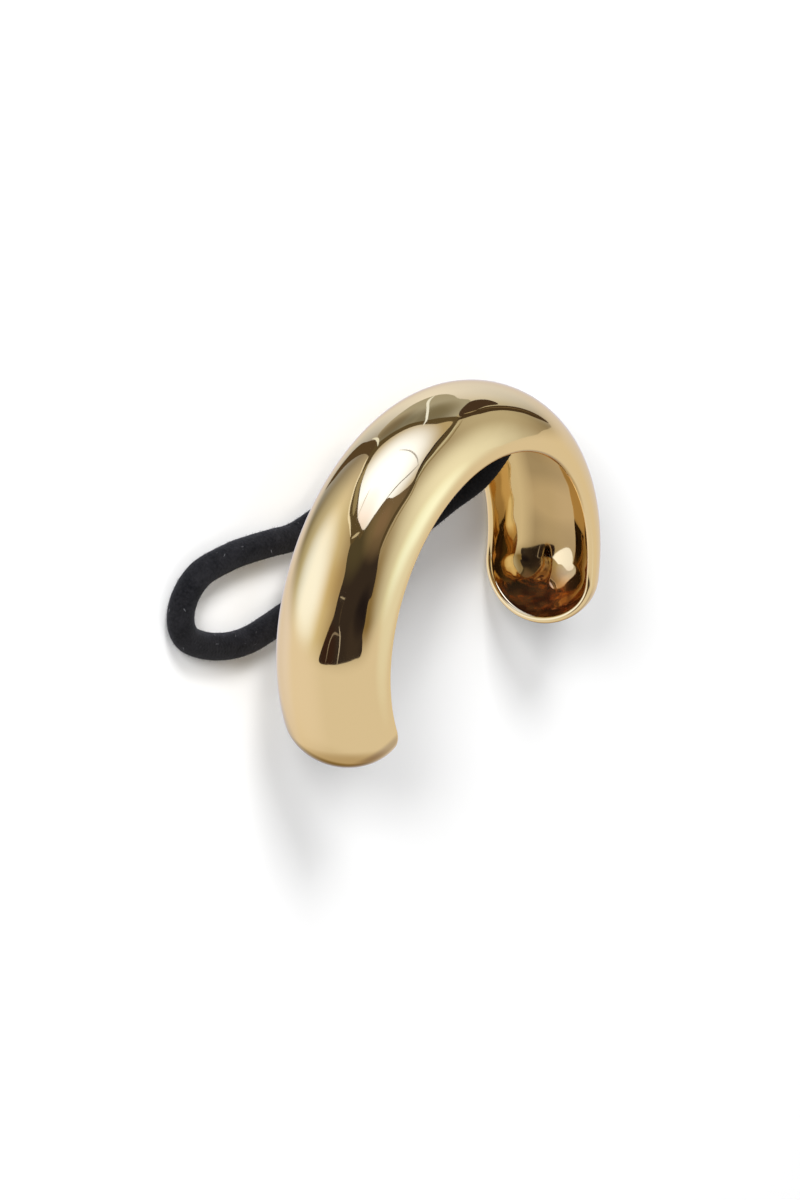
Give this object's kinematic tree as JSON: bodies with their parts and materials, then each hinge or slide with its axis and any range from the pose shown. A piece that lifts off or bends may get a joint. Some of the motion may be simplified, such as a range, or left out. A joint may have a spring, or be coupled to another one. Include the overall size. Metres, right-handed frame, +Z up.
{
  "type": "ponytail cuff",
  "caption": "Open C-shaped ponytail cuff with a hollow domed band and round tips, lying on its side, with a black elastic loop held inside it near the crown.",
  "frame": {"origin": "middle of the metal's box, on the surface that the cuff lies on", "axes": "+Z up from the surface; +Y towards the crown; X across the C; the cuff's own axis leans 6.3 degrees from Z, because the cuff lies on its elastic on one side"},
  "size_m": [0.0691, 0.0414, 0.0214],
  "materials": {
    "gold_metal": "mirror-polished pale gold plate",
    "black_elastic": "matt, slightly fuzzy braid"
  },
  "bodies": {
    "root": {"cuff_shell": "gold_metal", "elastic_loop": "black_elastic"}
  },
  "joints": []
}
